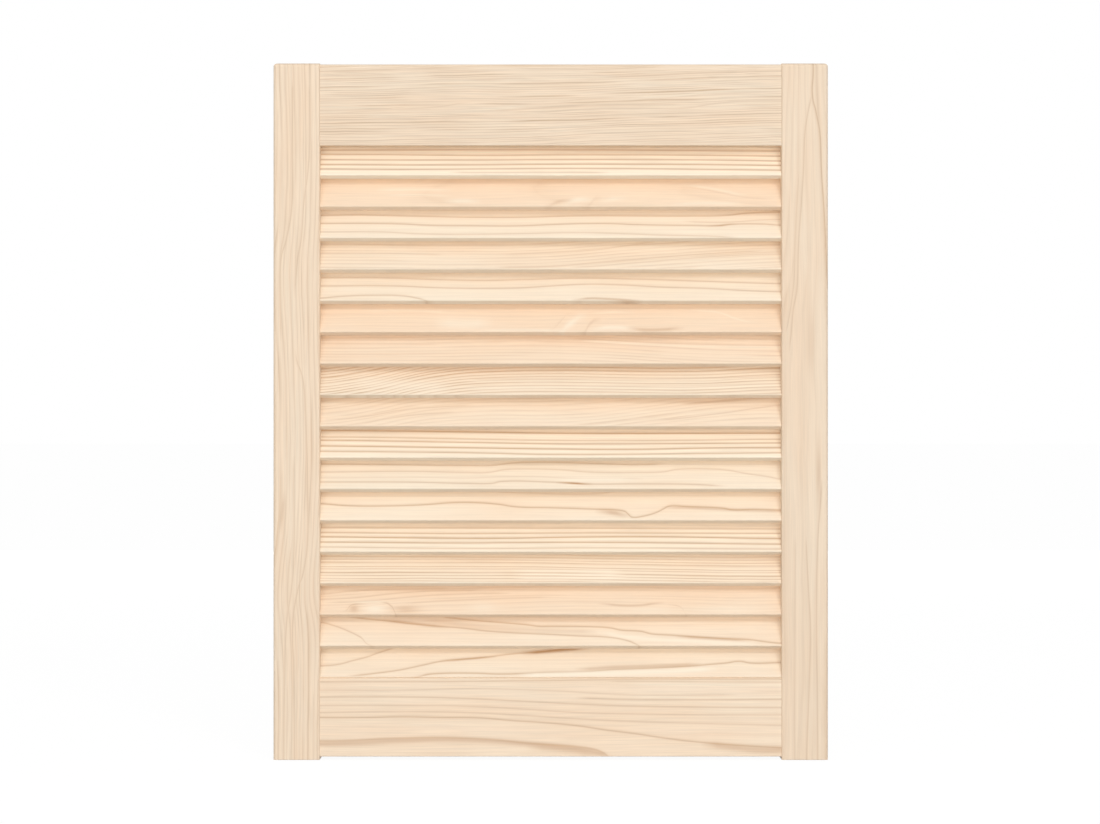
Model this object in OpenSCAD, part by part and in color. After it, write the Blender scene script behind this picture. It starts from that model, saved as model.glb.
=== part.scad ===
// Louvred cabinet door: a small pine leaf of two stiles, two rails and fixed sloping slats.
// Millimetres. +Z is up, the front faces -Y, and +X is to the right as seen from the front.
// The origin is at the middle of the leaf's width and thickness, at the foot of the stiles.

/* [Leaf] */
// Overall width of the leaf
leaf_w = 394; // [300:1:600]
// Overall height of the leaf, which is the length of a stile
leaf_h = 495; // [400:1:900]
// Thickness of the stiles and rails
leaf_t = 21; // [20:0.5:28]
// Rounding along the top edge, front and back, and at the top outer corners
top_round = 3; // [0.5:0.5:5]

/* [Stiles] */
// Width of a stile
stile_w = 33; // [30:0.5:60]
// Rounding of a stile's long edges on the outside of the leaf
stile_outer_round = 2; // [0.5:0.5:5]
// Rounding of a stile's long edges towards the slats
stile_inner_round = 1.2; // [0.5:0.1:5]
// Easing of the sawn corners of a stile, at its foot and beside the top rail
sawn_round = 0.4; // [0.2:0.1:1]

/* [Rails] */
// Height of the top rail
top_rail_h = 58; // [50:0.5:90]
// Height of the bottom rail
bottom_rail_h = 55.7; // [50:0.1:90]
// How far the top rail's edge sits below the tops of the stiles
top_setback = 0.6; // [0:0.1:5]
// How far the bottom rail's edge sits above the feet of the stiles
bottom_setback = 2.35; // [0:0.05:5]
// How far the rails' faces lie below those of the stiles, at the front and at the back
rail_sink = 0.7; // [0:0.1:1]
// Easing of the rails' long edges beside the slats and at the foot
rail_round = 0.6; // [0.2:0.1:2]

/* [Slats] */
// Number of slats
slat_count = 17; // [12:1:17]
// Width of a slat, along its slope
slat_w = 27; // [24:0.5:30]
// Thickness of a slat
slat_t = 5; // [4:0.25:6]
// Lean of a slat from upright, lower edge forward
slat_lean = 32; // [25:1:35]
// Rounding of a slat's long edges
slat_round = 0.8; // [0.2:0.1:1.5]
// Depth of the blind housings in the stiles
housing_depth = 6; // [4:0.5:10]
// Room round a slat in its housing or groove, on every side
slat_play = 0.1; // [0.05:0.05:0.3]
// Room past each end of a slat in its housing
slat_end_play = 0.25; // [0.1:0.05:0.8]
// How far the top and bottom slats reach into the rails
slat_let_in = 1.7; // [1:0.1:4]

/* [Dowels] */
// Diameter of a dowel
dowel_d = 8; // [6:0.5:10]
// Length of a dowel
dowel_l = 40; // [30:1:50]
// Distance between the two dowels of a corner
dowel_spacing = 32; // [20:1:36]
// Room round a dowel in its bore
dowel_play = 0.05; // [0.02:0.01:0.1]
// Room past each end of a dowel in its bore
dowel_end_play = 0.8; // [0.2:0.1:0.9]
// Chamfer at the ends of a dowel
dowel_chamfer = 1; // [0.5:0.1:1.5]
// Number of flutes along a dowel
flute_count = 12; // [6:1:16]
// Radius of a flute
flute_r = 0.4; // [0.2:0.1:0.6]

/* [Hidden] */
$fn = 64;
// How far a cutting shape reaches past the face that it opens
cut_past = 1;

opening_w = leaf_w - 2 * stile_w;
top_rail_z = leaf_h - top_setback - top_rail_h;
bottom_rail_top = bottom_setback + bottom_rail_h;
opening_h = top_rail_z - bottom_rail_top;

// Height and pitch of the slats, which fill the opening from rail to rail
slat_rise = (slat_w - 2 * slat_round) * cos(slat_lean) + (slat_t - 2 * slat_round) * sin(slat_lean)
    + 2 * slat_round;
slat_pitch = (opening_h + 2 * slat_let_in - slat_rise) / (slat_count - 1);
slat_len = opening_w + 2 * (housing_depth - slat_end_play);

stile_x = (leaf_w - stile_w) / 2;
joint_x = opening_w / 2;
top_joint_z = leaf_h - top_setback - top_rail_h / 2;
bottom_joint_z = bottom_setback + bottom_rail_h / 2;
bore_r = dowel_d / 2 + dowel_play;
bore_l = dowel_l + 2 * dowel_end_play;

STILE_COLOUR = "#EFD8BF";
RAIL_COLOUR = "#F0D9BF";
SLAT_COLOUR = "#FAE2C5";
DOWEL_COLOUR = "#D9B48C";

// The corners of the leaf, each as its name, the side its stile is on and the height of its joint
CORNERS = [
    ["top_left", -1, top_joint_z],
    ["top_right", 1, top_joint_z],
    ["bottom_left", -1, bottom_joint_z],
    ["bottom_right", 1, bottom_joint_z]
];
LEVELS = [["upper", 1], ["lower", -1]];

// Slats are counted from the top, dowels are named after their corner and level
function slat_name(i) = str("slat_", i < 10 ? "0" : "", i);
function slat_z(i) = top_rail_z + slat_let_in - slat_rise / 2 - (i - 1) * slat_pitch;
function dowel_name(corner, level) = str("dowel_", corner[0], "_", level[0]);
function dowel_z(corner, level) = corner[2] + level[1] * dowel_spacing / 2;

// Rectangle about the origin, with a radius for each corner: low left, low right, high right, high left
module soft_rect(w, h, r) {
    x = w / 2;
    y = h / 2;
    polygon([
        [-x + r[0], -y], [x - r[1], -y], [x, -y + r[1]], [x, y - r[2]],
        [x - r[2], y], [-x + r[3], y], [-x, y - r[3]], [-x, -y + r[0]]
    ]);
    translate([-x + r[0], -y + r[0]]) circle(r[0]);
    translate([x - r[1], -y + r[1]]) circle(r[1]);
    translate([x - r[2], y - r[2]]) circle(r[2]);
    translate([-x + r[3], y - r[3]]) circle(r[3]);
}

// Extrudes an outline drawn in Y and Z along X, equally to both sides
module along_x(length) {
    translate([-length / 2, 0, 0]) rotate([90, 0, 90]) linear_extrude(height = length) children();
}

// Extrudes an outline drawn in X and Z along Y, equally to both sides
module along_y(length) {
    translate([0, length / 2, 0]) rotate([90, 0, 0]) linear_extrude(height = length) children();
}

// A slat's section in Y and Z, grown by some room on every side
module slat_section(room) {
    r = slat_round + room;
    rotate(-slat_lean) soft_rect(slat_t + 2 * room, slat_w + 2 * room, [r, r, r, r]);
}

// The space that all slats need, from end to end, for cutting the stiles and rails
module slat_cuts(length) {
    for (i = [1 : slat_count]) {
        translate([0, 0, slat_z(i)]) along_x(length) slat_section(slat_play);
    }
}

// The bores of all corner joints
module dowel_bores() {
    for (corner = CORNERS, level = LEVELS) {
        translate([corner[1] * joint_x - bore_l / 2, 0, dowel_z(corner, level)])
            rotate([0, 90, 0]) cylinder(r = bore_r, h = bore_l);
    }
}

// A stile's timber, on the right side of the leaf, before it is housed and bored
module stile_blank() {
    intersection() {
        linear_extrude(height = leaf_h)
            soft_rect(stile_w, leaf_t,
                [stile_inner_round, stile_outer_round, stile_outer_round, stile_inner_round]);
        translate([0, 0, leaf_h / 2]) along_y(leaf_t + 2 * cut_past)
            soft_rect(stile_w, leaf_h, [sawn_round, sawn_round, top_round, sawn_round]);
        translate([0, 0, leaf_h / 2]) along_x(stile_w + 2 * cut_past)
            soft_rect(leaf_t, leaf_h, [sawn_round, sawn_round, top_round, top_round]);
    }
}

module stile(side) {
    color(STILE_COLOUR) difference() {
        translate([side * stile_x, 0, 0]) mirror([side < 0 ? 1 : 0, 0, 0]) stile_blank();
        slat_cuts(opening_w + 2 * housing_depth);
        dowel_bores();
    }
}

module left_stile() {
    stile(-1);
}

module right_stile() {
    stile(1);
}

// A rail between the stiles, with the groove that the nearest slat reaches into
module rail(height, joint_z, r) {
    color(RAIL_COLOUR) difference() {
        translate([0, 0, joint_z]) along_x(opening_w) soft_rect(leaf_t - 2 * rail_sink, height, r);
        slat_cuts(opening_w + 2 * cut_past);
        dowel_bores();
    }
}

module top_rail() {
    rail(top_rail_h, top_joint_z, [rail_round, rail_round, top_round, top_round]);
}

module bottom_rail() {
    rail(bottom_rail_h, bottom_joint_z, [rail_round, rail_round, rail_round, rail_round]);
}

module slat(i) {
    color(SLAT_COLOUR) translate([0, 0, slat_z(i)]) along_x(slat_len) slat_section(0);
}

// A dowel's round outline with its flutes, which let glue and air out of the bore
module fluted_circle() {
    difference() {
        circle(d = dowel_d);
        for (i = [0 : flute_count - 1]) {
            rotate(i * 360 / flute_count) translate([dowel_d / 2, 0]) circle(flute_r);
        }
    }
}

// A dowel along Z with chamfered ends
module dowel_along_z() {
    intersection() {
        linear_extrude(height = dowel_l) fluted_circle();
        rotate_extrude() polygon([
            [0, 0], [dowel_d / 2 - dowel_chamfer, 0], [dowel_d / 2, dowel_chamfer],
            [dowel_d / 2, dowel_l - dowel_chamfer], [dowel_d / 2 - dowel_chamfer, dowel_l], [0, dowel_l]
        ]);
    }
}

module dowel(corner, level) {
    color(DOWEL_COLOUR) translate([corner[1] * joint_x - dowel_l / 2, 0, dowel_z(corner, level)])
        rotate([0, 90, 0]) dowel_along_z();
}

left_stile();
right_stile();
top_rail();
bottom_rail();
for (i = [1 : slat_count])
    slat(i);
for (corner = CORNERS, level = LEVELS)
    dowel(corner, level);
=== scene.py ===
"""Louvred cabinet door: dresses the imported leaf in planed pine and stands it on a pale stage."""

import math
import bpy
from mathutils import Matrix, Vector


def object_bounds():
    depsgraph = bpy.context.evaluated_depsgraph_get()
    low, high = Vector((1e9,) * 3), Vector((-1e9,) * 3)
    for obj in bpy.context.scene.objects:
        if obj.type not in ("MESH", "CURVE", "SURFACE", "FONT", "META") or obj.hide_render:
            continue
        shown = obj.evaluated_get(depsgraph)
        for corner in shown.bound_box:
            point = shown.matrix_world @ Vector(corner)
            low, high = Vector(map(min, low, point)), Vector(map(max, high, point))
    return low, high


bl_info = {
    "name": "Louvred Cabinet Door",
    "version": (1, 0, 0),
    "blender": (4, 5, 0),
    "location": "View3D > Sidebar > Door",
    "description": "Dresses a louvred door leaf in planed pine and stands it on a pale stage",
    "category": "Object",
}

from collections import namedtuple

import bmesh
import bpy
from mathutils import Matrix, Vector

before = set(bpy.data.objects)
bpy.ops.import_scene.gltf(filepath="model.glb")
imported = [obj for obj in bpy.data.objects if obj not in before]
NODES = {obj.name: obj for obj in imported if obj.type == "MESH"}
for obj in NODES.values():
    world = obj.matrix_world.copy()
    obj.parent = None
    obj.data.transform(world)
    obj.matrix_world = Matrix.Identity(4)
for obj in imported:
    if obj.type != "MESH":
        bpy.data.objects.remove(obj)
CAD_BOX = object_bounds()

MM = 0.001
X_AXIS = Vector((1, 0, 0))
Z_AXIS = Vector((0, 0, 1))
FRONT = Vector((0, -1, 0))

# The leaf's own sizes, read back from the frame
LEAF_LOW, LEAF_HIGH = CAD_BOX
LEAF_MID = (LEAF_LOW + LEAF_HIGH) / 2
SLAT_NAMES = sorted(n for n in NODES if n.startswith("slat_"))
DOWEL_NAMES = sorted(n for n in NODES if n.startswith("dowel_"))
STILE_NAMES = ["left_stile", "right_stile"]
RAIL_NAMES = ["top_rail", "bottom_rail"]


def linear(code):
    """Turns an sRGB hex colour into linear red, green and blue."""
    channels = [int(code[i:i + 2], 16) / 255 for i in (1, 3, 5)]
    return tuple(c / 12.92 if c <= 0.04045 else ((c + 0.055) / 1.055) ** 2.4 for c in channels)


def add(tree, kind, inputs=None, **settings):
    """Adds a node with its settings, and sets or links its inputs."""
    node = tree.nodes.new(kind)
    for name, value in settings.items():
        setattr(node, name, value)
    for socket, value in (inputs or {}).items():
        if isinstance(value, bpy.types.NodeSocket):
            tree.links.new(value, node.inputs[socket])
        else:
            node.inputs[socket].default_value = value
    return node


# How one board was cut from its log, in millimetres of its own frame: first along the grain,
# then across the face, then outwards from the middle of its thickness.
Board = namedtuple("Board", "ring line drift pith lean uneven broken wave traced stains lines streaks "
                   "tone warmth seed")
Line = namedtuple("Line", "kind strength width points")


def board(ring, line=0, drift=(), pith=(-100, 0), lean=(0, 0), uneven=0.6, broken=0.8, wave=0.4,
          traced=(), stains=(), lines=0.12, streaks=0.5, tone=1.0, warmth=0.3, seed=0.0):
    """Describes a board.

    ring is the spacing of its fine lines and line the place of one of them; drift lifts the lines near
    the lower and upper edge at places along the grain; pith and lean say where the log's middle lies
    and how it leans; uneven, broken and wave make years differ, lines come and go and the grain waver;
    traced are its bold lines; stains darken the timber, or clear it where negative, each an oval given
    as its middle, half length, half height and strength; lines and streaks are the strength of the
    figure, warmth the board's own tint, and seed sets its waves and tints apart. tone scales the
    board's brightness and is partly its own colour and partly painted light: the slats' tones are set
    above the stiles' and top rail's to stand in for the light that their up-tilted faces catch."""
    return Board(ring, line, drift, pith, lean, uneven, broken, wave, traced, stains, lines, streaks,
                 tone, warmth, seed)


def late(strength, *points, width=0.8):
    """A bold line of latewood through points, each along the grain and up from the lower edge."""
    return Line("late", strength, width, points)


def resin(strength, *points, width=1.6):
    """A brown band of resin through points."""
    return Line("resin", strength, width, points)


def clear(strength, *points, width=1.2):
    """A pale streak through points."""
    return Line("clear", strength, width, points)


# Slats are counted from the top. A stile's grain runs upwards, so its points are given up from its
# middle and in from its right-hand edge.
# Each board's tone is partly its own colour and partly painted light: the slats' tones are set above the
# stiles' and top rail's to stand in for the light that their up-tilted faces catch.
BOARDS = {
    "left_stile": board(
        3.0, drift=((137, 0, 0), (106, 1, 3.5), (72, 0.5, 2.5), (17, -1, -1), (-82, 0, 0),
                    (-128, 2, 3.5), (-155, -1, 2.5), (-195, 0, 0)),
        traced=(
            late(0.4, (-245, 17.4), (-183, 17.9), (-153, 18.7), (-128, 15.3), (-113, 10.8), (-93, 8.2),
                 (-53, 8.2), (-3, 9.5), (22, 11.3), (42, 16.6)),
            late(0.35, (-245, 25), (-193, 24.5), (-153, 23.2), (-123, 19.2), (-103, 17.9), (-33, 17.9)),
            late(0.4, (82, 17), (107, 15.3), (122, 12.7), (147, 10.8), (172, 7.7), (187, 6.6), (235, 6.6)),
            late(0.4, (52, 27), (87, 27.5), (107, 27.1), (122, 23.2), (147, 19.2), (187, 18.9),
                 (237, 18.7)),
            resin(0.24, (-84, 27), (-72, 26), (-58, 25), width=1.3),
        ),
        pith=(-90, -10), uneven=0.7, broken=0.85, wave=0.6, lines=0.46, streaks=0.7, tone=0.963,
        warmth=0.6, seed=1.1),
    "right_stile": board(
        3.6, line=-8, drift=((247, 0, 0), (205, -2.5, 3), (170, -4.5, 4.5), (115, -6.7, 7),
                             (70, -7, 12), (-60, -7, 13), (-247, -6, 13)),
        traced=(
            late(0.65, (82, -1), (97, 0.2), (122, 1.3), (147, 2.6), (172, 4.2), (197, 5.2), (212, 7.8),
                 (227, 10.7), (240, 10)),
            late(0.4, (42, 27), (57, 25.5), (72, 24.2), (87, 21.6), (122, 20.3), (147, 18.5),
                 (172, 16.9), (197, 15.9), (212, 13.8), (227, 11.2)),
            late(0.35, (52, 30), (62, 28.1), (77, 25.5), (97, 23.4), (122, 22.9), (172, 20.3)),
            late(0.4, (-245, 6.8), (-93, 6.8), (-63, 4.7), (-50, 4)),
            late(0.4, (-245, 14.6), (-183, 12.5), (-153, 12), (-128, 13.3), (-88, 15.1)),
            late(0.3, (-245, 23.2), (-90, 22.9)),
        ),
        stains=((50, -4, 25, 2.5, 0.2), (-43, -10, 20, 1.5, 0.3)),
        pith=(-70, -20), uneven=0.7, wave=0.5, lines=0.27, tone=0.93, warmth=0.65, seed=2.3),
    "top_rail": board(
        1.7, drift=((-164, -4, -4), (0, 0, 0), (164, 4, 4)), pith=(-120, -20),
        traced=(
            late(0.35, (-60, 46), (-20, 46.5), (20, 48), (60, 49), (100, 51), (140, 52), (164, 52.5)),
            late(0.3, (-150, 23), (-120, 24.5), (-80, 27), (-58, 30)),
            late(0.35, (-120, 20.5), (-80, 22), (-40, 24.5), (0, 26.5), (20, 27.5), (60, 28.5),
                 (95, 28.5)),
            late(0.35, (-10, 23), (20, 25), (60, 26), (95, 26), (115, 29), (130, 30.5), (164, 31)),
            late(0.3, (60, 32.5), (90, 34), (110, 36), (164, 38)),
            late(0.4, (-164, 24.4), (-140, 24.8), (-118, 25.6), (-105, 26.6), width=0.5),
            late(0.4, (-52, 24), (-20, 25), (5, 27.4), (30, 28.4), width=0.5),
            late(0.35, (6, 30.6), (24, 32.6), (48, 33.4), width=0.5),
            clear(0.3, (-130, 21), (-95, 21.5), (-60, 23.5), (-20, 27)),
            clear(0.4, (-39, 46), (0, 47.2), (46, 48.4), width=0.8),
            clear(0.4, (60, 33.5), (90, 35), (110, 37), (164, 39), width=0.9),
        ),
        uneven=0.8, broken=1.0, wave=0.6, lines=0.78, streaks=0.9, tone=0.945, warmth=0.5, seed=3.7),
    "bottom_rail": board(
        6.0, traced=(
            late(0.55, (-164, 52.5), (-80, 52.7), (0, 53.5), (60, 54.2), (164, 54.2), width=0.6),
            late(0.4, (40, 52.9), (90, 52.7), (164, 52.1), width=0.6),
            late(0.35, (-164, 46.7), (-100, 46.7), (-60, 47.7), (0, 46.2), (60, 43.2), (130, 43.2)),
            late(0.5, (-164, 41.7), (-100, 41.7), (-60, 40.7), (-20, 38.7), (20, 36.7), (60, 35.2),
                 (100, 34.7), (164, 34.2)),
            late(0.5, (20, 41), (50, 40), (100, 39.8), (164, 40.2)),
            late(0.4, (-164, 35.7), (-100, 35.7), (-60, 35.2), (-20, 33.2), (20, 30.7), (60, 29.7),
                 (100, 29.2), (164, 29.2)),
            late(0.4, (-164, 30.7), (-60, 30.7), (-20, 28.7), (20, 26.2), (50, 24.7), (100, 23.2),
                 (164, 21.7)),
            late(0.65, (-164, 27.2), (-130, 27.2), (-105, 27.7), (-80, 27.2), (-50, 26.9), (-30, 25.2),
                 (0, 23.2), (20, 21.2), (40, 18.2), (60, 15.7), (80, 12.7), (100, 10.2), (130, 7.7),
                 (164, 5.7)),
            clear(0.35, (58, 51), (110, 50.6), (164, 50.4), width=0.9),
            clear(0.35, (62, 42), (110, 41.4), (164, 41.6), width=0.7),
            resin(0.4, (110, 8), (130, 6), (145, 4.5), (164, 4.2), width=2.4),
            resin(0.26, (-14, 6), (12, 4.2), (32, 1), width=2.4),
            resin(0.4, (-164, 8.7), (-140, 9.2), (-120, 10.4), (-100, 11), (-80, 11.5), (-60, 11.2),
                  (-40, 10.5), (-20, 8.9), (0, 7.2), (20, 5), (30, 3.2), (38, 0.7), (44, -2), width=2.2),
            resin(0.3, (-164, 10.6), (-140, 11), (-120, 12.2), (-100, 12.7), (-80, 12.9), (-60, 12.4),
                 (-40, 11.4), (-20, 9.4), (0, 7.9), (20, 6.4), (30, 4.9), (38, 1.9), (44, -2), width=0.7),
        ),
        streaks=0.7, warmth=0.6, seed=4.2),
    # Its tone is the highest of the slats partly as painted light, which lifts the shade that the top rail
    # casts across its upper part.
    "slat_01": board(
        2.1, traced=(
            late(0.5, (-70, 1.6), (0, 1.9), (40, 1.6), width=0.78),
            late(0.9, (-164, 4.8), (-107, 4.4), (-50, 4.8), (6, 5.2), (63, 5), (125, 4.2), (164, 3.7),
                 width=0.78),
            late(1.0, (-164, 8.7), (-107, 8.4), (-50, 8.5), (6, 9), (63, 9), (125, 8.5), (164, 7.9),
                 width=0.78),
            late(0.9, (-164, 13), (-107, 12.8), (-50, 12.8), (6, 13.1), (63, 13.1), (125, 12.6),
                 (164, 11.9), width=0.78),
            late(0.9, (-164, 17.7), (-107, 17.4), (-50, 16.8), (6, 17.4), (63, 17.3), (125, 16.8),
                 (164, 16.2), width=0.78),
            late(0.8, (-164, 21.6), (0, 21.9), (164, 20.8), width=0.78),
        ),
        uneven=0.5, lines=0.06, streaks=0.9, tone=1.083, warmth=-0.1, seed=5.1),
    "slat_02": board(
        5.0, pith=(0, -40), lean=(0, 0.05), uneven=0.3, broken=0.4, wave=0.6,
        traced=(
            clear(0.45, (-122, 14), (-100, 14.5), (-72, 14), width=1.6),
            clear(0.34, (-116, 9.5), (-95, 9.8), (-72, 9), width=1.2),
            clear(0.6, (-74, 4), (-62, 4.2), (-52, 3.8), width=2.0),
            clear(0.68, (10, 2), (16, 4.5), (22, 5.5), (29, 5.2), width=2.4),
            clear(0.45, (36, 4), (44, 6), (52, 6.5), width=2.0),
            resin(0.35, (-2, 0.2), (3, 2.6), (8, 4.2), (12, 4.6), width=1.6),
            resin(0.28, (25, -0.5), (29, 3), (33, 6.5), width=1.8),
            clear(0.45, (98, 18), (110, 16.3), (124, 13), (138, 9.8), width=1.2),
            late(0.22, (92, 16.6), (108, 14.6), (122, 11.2), (136, 8), (156, 6), width=1.4),
            clear(0.45, (88, 1.5), (110, 2.4), (134, 2), width=1.4),
        ),
        lines=0.14, warmth=1.0, seed=6.4),
    "slat_03": board(
        3.1, traced=(
            late(0.72, (-164, 19), (-140, 19.5), (-100, 18.5), (-60, 17.5), (-20, 17.5), (20, 18.7),
                 (100, 18.5), (125, 19), (140, 21), (164, 22)),
            late(0.72, (-164, 12), (-130, 12), (-105, 11.5), (-90, 10.5), (-60, 10), (-20, 10), (0, 11),
                 (20, 11.8), (45, 11.8), (60, 11), (100, 10.2), (118, 10), (128, 11.2), (150, 11.5),
                 (164, 10.5)),
            late(0.48, (-164, 4.5), (-120, 4.5), (-95, 3), (-60, 2.5), (-20, 3.2), (20, 4), (50, 3.2),
                 (75, 2), (110, 1), (130, 0)),
            late(0.42, (95, 13.5), (125, 13), (150, 15), (164, 15.5)),
            resin(0.5, (114, 10), (122, 10.3), (130, 11.4), width=0.8),
        ),
        tone=1.01, warmth=0.0, seed=7.9),
    "slat_04": board(
        2.8, drift=((-164, 0, 0), (-40, 0, 0), (0, 1.5, 1.5), (70, 7, 7), (160, 13, 13)),
        traced=(
            late(0.5, (-38, 1), (0, 2), (40, 6), (80, 10), (115, 13), (150, 15)),
            late(0.4, (-35, 12.3), (0, 14), (30, 16), (55, 20), (75, 23)),
            late(0.4, (-164, 13.2), (-120, 13.2), (-75, 12)),
            late(0.4, (15, 1), (60, 5), (100, 9), (140, 12), (164, 12.5)),
        ),
        broken=0.7, lines=0.4, warmth=0.35, seed=8.2),
    "slat_05": board(
        3.3, traced=(
            late(0.62, (-164, 19), (-120, 19), (-80, 17.5), (-50, 16.8), (-20, 17.5), (20, 18.7),
                 (60, 18), (100, 16.5), (140, 14.8), (164, 14)),
            late(0.62, (-164, 12), (-110, 12), (-80, 10.5), (-50, 10), (-20, 10.5), (0, 12), (25, 13.5),
                 (50, 13), (80, 11), (110, 10), (140, 8), (164, 7)),
            late(0.62, (-164, 1.5), (-150, 3), (-125, 4), (-105, 3.5), (-95, 1.5), (-85, -1)),
            resin(0.5, (18, 0.3), (27, 1.4), (40, 1), (62, -0.5), width=1.0),
        ),
        warmth=0.1, seed=9.6),
    "slat_06": board(
        4.2, wave=0.8, traced=(
            clear(0.3, (-134, 17.5), (-105, 18), (-72, 16.5), width=1.0),
            clear(0.53, (-80, 7), (-62, 6.5), (-44, 7), width=4.0),
            clear(0.45, (-48, 1), (-20, 1.4), (6, 1), width=1.0),
            late(0.25, (0, 2), (5, 6), (9, 11), (14, 15), width=1.6),
            clear(0.75, (6, -1), (11, 4), (17, 9), (23, 13), width=3.2),
            resin(0.38, (23, -1), (26, 3.5), (29, 7.5), (33, 10), width=1.7),
            clear(0.68, (30, 2), (42, 3.4), (58, 3), width=1.8),
            resin(0.42, (57, 2.6), (66, 1.4), (80, 1.6), (92, 2.6), width=1.4),
            clear(0.38, (32, 15.6), (46, 16.6), (58, 16.2), width=0.7),
            clear(0.38, (100, 18), (118, 16.6), (132, 11), (144, 8), width=0.9),
        ),
        uneven=0.8, lines=0.16, warmth=0.95, seed=10.3),
    "slat_07": board(
        2.8, drift=((-160, 0, 0), (25, 0, 0), (90, -4, -4), (160, -7, -7)),
        traced=(
            late(0.45, (15, 20.5), (45, 18.8), (70, 17.3), (110, 15.6), (164, 14.6)),
            clear(0.5, (25, 18.6), (60, 16.2), (110, 14), (164, 13)),
            late(0.3, (-164, 16.5), (-120, 16), (-80, 15.5)),
        ),
        lines=0.4, warmth=0.65, seed=11.8),
    "slat_08": board(
        2.5, drift=((-165, -17, -17), (-140, -13, -13), (-75, 3, 3), (-45, 6, 6), (100, 6, 6),
                    (164, 9, 9)),
        traced=(
            late(0.4, (-60, 12.5), (0, 13), (100, 12.8), (164, 15)),
            clear(0.4, (-60, 11), (0, 11.5), (100, 11.3), (164, 13.5)),
            late(0.35, (-60, 6.8), (0, 7.2), (100, 7), (164, 9)),
            clear(0.4, (-60, 5.3), (0, 5.7), (100, 5.5), (164, 7.5)),
            clear(0.35, (-140, 12), (-118, 9), (-96, 7.5), (-74, 6), width=5.0),
        ),
        uneven=0.4, broken=0.5, wave=0.3, lines=0.86, tone=1.018, warmth=0.15, seed=12.5),
    "slat_09": board(
        3.2, drift=((-160, -12, -12), (-81, 3, 3), (-40, 6, 6), (15, 7, 7), (142, 22, 22)),
        traced=(
            late(0.4, (-158, 4.5), (-130, 8), (-105, 13), (-80, 15.5), (-55, 16.5)),
            late(0.4, (-138, 1.5), (-115, 6), (-95, 9), (-65, 11)),
            late(0.4, (75, 4.5), (120, 10), (150, 15), (164, 17)),
            resin(0.3, (95, 18.5), (130, 21.5), (160, 25)),
        ),
        wave=0.6, lines=0.35, warmth=0.5, seed=13.9),
    "slat_10": board(
        2.2, traced=(
            late(0.8, (-164, 4.5), (-60, 3.4), (0, 2), (60, 2.2), (164, 3.4)),
            late(1.0, (-164, 9), (-60, 7.5), (0, 6.5), (60, 6.2), (120, 7.4), (164, 7.5)),
            late(0.92, (-164, 13.8), (-60, 12), (0, 10.8), (60, 10.8), (164, 11.5)),
            late(0.69, (-164, 16.6), (-60, 14.9), (0, 13.6), (60, 13.5), (164, 14.5)),
            late(1.0, (-164, 22), (-60, 20.8), (0, 19.7), (164, 19.7)),
        ),
        uneven=0.5, lines=0.1, streaks=0.9, tone=1.05, warmth=-0.1, seed=14.4),
    "slat_11": board(
        2.6, traced=(
            late(0.6, (-164, 20), (-120, 19.5), (-60, 18.7), (-42, 18.8), (-30, 20.5), (-15, 21.5),
                 (30, 20.5), (60, 19.5), (80, 20)),
            late(0.45, (-164, 13.2), (-100, 14), (-60, 13), (-45, 13), (-32, 15.5), (-20, 16),
                 (10, 15), (25, 13.5), (60, 13), (80, 13.5), (90, 15.5), (110, 16), (125, 15),
                 (140, 12), (155, 9.5), (164, 7.5)),
            late(0.3, (-164, 8.5), (-100, 9), (-55, 8.5), (-35, 9.5), (-10, 9.5), (20, 8), (65, 8)),
            late(0.6, (-164, 5), (-100, 5), (-60, 4), (-42, 4), (-35, 5.5), (0, 5), (10, 4.5),
                 (25, 3.5), (60, 3.5), (100, 3.2), (122, 2)),
            resin(0.9, (7, 4.6), (16, 4.2), (27, 3.4), width=0.8),
            clear(0.8, (5, 6.8), (30, 7.2), (58, 7.4)),
        ),
        tone=0.99, warmth=0.1, seed=15.7),
    "slat_12": board(
        3.4, traced=(
            late(0.8, (-164, 13), (-145, 11.4), (-115, 11.2), (-90, 12.2), (-70, 13.9), (-55, 14),
                 (-38, 12.6), (-24, 10.4), (0, 9.7), (35, 8.4), (46, 8), (52, 7), (55, 4.7), (58.5, 1.8),
                 (65, 2.6), (74, 5.3), (80.5, 8.8), (85.5, 11.2), (97, 10.7), (123, 9.3), (129, 8),
                 (145, 8.4), (164, 7.8)),
            late(0.35, (-60, 23.5), (-20, 22), (35, 21.5), (45, 23), (62, 24.5)),
            resin(0.5, (35, 6.8), (45, 5.6), (55, 3.4), width=2.2),
            resin(0.35, (82, 10), (97, 9.8), (123, 8.4), (164, 7), width=1.2),
        ),
        uneven=0.5, wave=0.2, lines=0.08, tone=1.01, warmth=0.35, seed=16.2),
    "slat_13": board(
        2.1, traced=(
            late(0.6, (-164, 3.2), (-60, 2), (40, 2.5), (164, 1.5)),
            late(0.9, (-164, 7.2), (-60, 6.5), (0, 7), (60, 6.8), (164, 5.5)),
            late(1.0, (-164, 11.5), (-80, 10.5), (-40, 10.3), (20, 11.3), (80, 11.5), (164, 10)),
            late(0.8, (-164, 15), (-60, 14.2), (20, 14.7), (164, 14.3)),
            late(0.7, (-164, 18.9), (0, 18.5), (164, 17.9)),
        ),
        uneven=0.5, lines=0.1, streaks=0.9, tone=1.04, warmth=-0.1, seed=17.5),
    "slat_14": board(
        2.5, drift=((-160, 1, 1), (160, -2, -2)),
        traced=(
            clear(0.7, (-25, 3.6), (15, 3.6), (50, 3.4), width=0.8),
            clear(0.7, (-25, 6.6), (15, 6.4), (50, 6.2), width=0.8),
            clear(0.6, (-25, 9.4), (15, 9.4), (50, 9.2), width=0.8),
        ),
        uneven=0.5, broken=0.5, wave=0.3, lines=0.8, tone=1.035, warmth=0.2, seed=18.8),
    "slat_15": board(
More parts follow.
